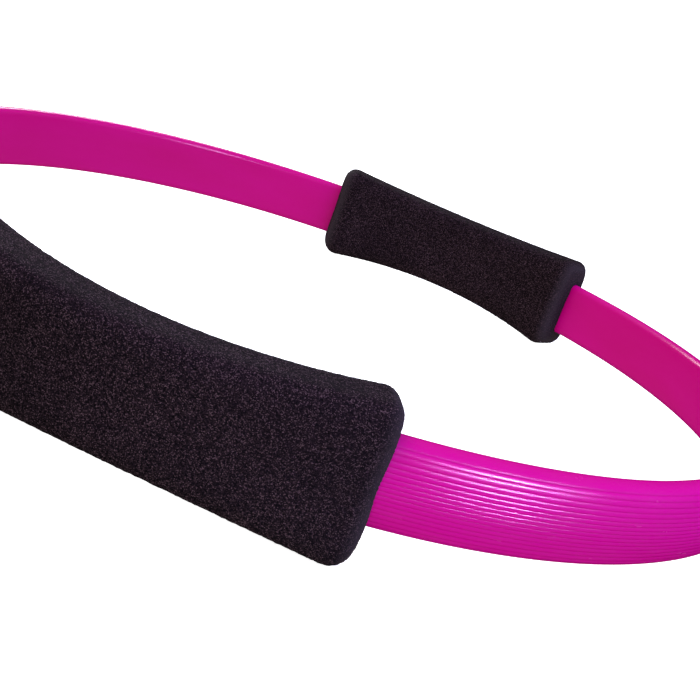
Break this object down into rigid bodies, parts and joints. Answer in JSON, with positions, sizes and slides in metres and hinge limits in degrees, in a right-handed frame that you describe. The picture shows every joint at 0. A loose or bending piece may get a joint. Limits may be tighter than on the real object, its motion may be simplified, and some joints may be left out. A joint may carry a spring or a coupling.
{
  "type": "pilates ring",
  "caption": "Springy flat-band ring in a ribbed sleeve, with two waisted foam hand grips facing each other; it is squeezed between the hands or legs and springs back.",
  "frame": {"origin": "the ring's centre, on the level surface that grip B's widest places rest on when the ring's axis is upright", "axes": "+Z is the ring's axis, +Y points from the centre to grip A, and the two grips are squeezed towards each other along Y"},
  "size_m": [0.3746, 0.381, 0.0522],
  "materials": {
    "grip_foam": "matt closed-cell foam with a fine grain",
    "sleeve": "glossy soft plastic, ribbed on the outside",
    "strip": "pultruded glass fibre",
    "splice_steel": "zinc plated",
    "rivet": "plain",
    "wrap": "shrunk tube"
  },
  "bodies": {
    "grip_a": {"foam_grip_a": "grip_foam", "splice_wrap_a": "wrap", "outer_splice_plate_a": "splice_steel", "inner_splice_plate_a": "splice_steel", "splice_rivets_a": "rivet", "sleeve_right_a_end": "sleeve", "sleeve_left_a_end": "sleeve", "outer_strip_right_a_end": "strip", "inner_strip_right_a_end": "strip", "outer_strip_left_a_end": "strip", "inner_strip_left_a_end": "strip"},
    "right_a_arc": {"sleeve_right_a_arc": "sleeve", "outer_strip_right_a_arc": "strip", "inner_strip_right_a_arc": "strip"},
    "right_b_arc": {"sleeve_right_b_arc": "sleeve", "outer_strip_right_b_arc": "strip", "inner_strip_right_b_arc": "strip"},
    "left_a_arc": {"sleeve_left_a_arc": "sleeve", "outer_strip_left_a_arc": "strip", "inner_strip_left_a_arc": "strip"},
    "left_b_arc": {"sleeve_left_b_arc": "sleeve", "outer_strip_left_b_arc": "strip", "inner_strip_left_b_arc": "strip"},
    "grip_b": {"foam_grip_b": "grip_foam", "splice_wrap_b": "wrap", "outer_splice_plate_b": "splice_steel", "inner_splice_plate_b": "splice_steel", "splice_rivets_b": "rivet", "sleeve_right_b_end": "sleeve", "outer_strip_right_b_end": "strip", "inner_strip_right_b_end": "strip", "outer_strip_left_b_tail": "strip", "inner_strip_left_b_tail": "strip"},
    "left_b_end": {"sleeve_left_b_end": "sleeve", "outer_strip_left_b_end": "strip", "inner_strip_left_b_end": "strip"}
  },
  "joints": [
    {"name": "squeeze", "type": "hinge", "parent": "grip_a", "child": "right_a_arc", "pos_m": [0.10177, 0.15088, 0.02611], "axis": [0, 0, 1], "range_deg": [-6, 15], "stiffness_Nm_per_rad": 6.5},
    {"name": "bend_right_side", "type": "hinge", "parent": "right_a_arc", "child": "right_b_arc", "pos_m": [0.182, 0, 0.02611], "axis": [0, 0, 1], "range_deg": [-30, 12], "stiffness_Nm_per_rad": 6.5},
    {"name": "bend_right_at_b", "type": "hinge", "parent": "right_b_arc", "child": "grip_b", "pos_m": [0.10177, -0.15088, 0.02611], "axis": [0, 0, 1], "range_deg": [-6, 15], "stiffness_Nm_per_rad": 6.5},
    {"name": "bend_left_at_a", "type": "hinge", "parent": "grip_a", "child": "left_a_arc", "pos_m": [-0.10177, 0.15088, 0.02611], "axis": [0, 0, 1], "range_deg": [-15, 6], "stiffness_Nm_per_rad": 6.5},
    {"name": "bend_left_side", "type": "hinge", "parent": "left_a_arc", "child": "left_b_arc", "pos_m": [-0.182, 0, 0.02611], "axis": [0, 0, 1], "range_deg": [-12, 30], "stiffness_Nm_per_rad": 6.5},
    {"name": "bend_left_at_b", "type": "hinge", "parent": "left_b_arc", "child": "left_b_end", "pos_m": [-0.10177, -0.15088, 0.02611], "axis": [0, 0, 1], "range_deg": [-15, 6], "stiffness_Nm_per_rad": 6.5}
  ],
  "couplings": [
    {"joint": "bend_right_side", "follows": "squeeze", "ratio": -2},
    {"joint": "bend_right_at_b", "follows": "squeeze", "ratio": 1},
    {"joint": "bend_left_at_a", "follows": "squeeze", "ratio": -1},
    {"joint": "bend_left_side", "follows": "squeeze", "ratio": 2},
    {"joint": "bend_left_at_b", "follows": "squeeze", "ratio": -1}
  ]
}
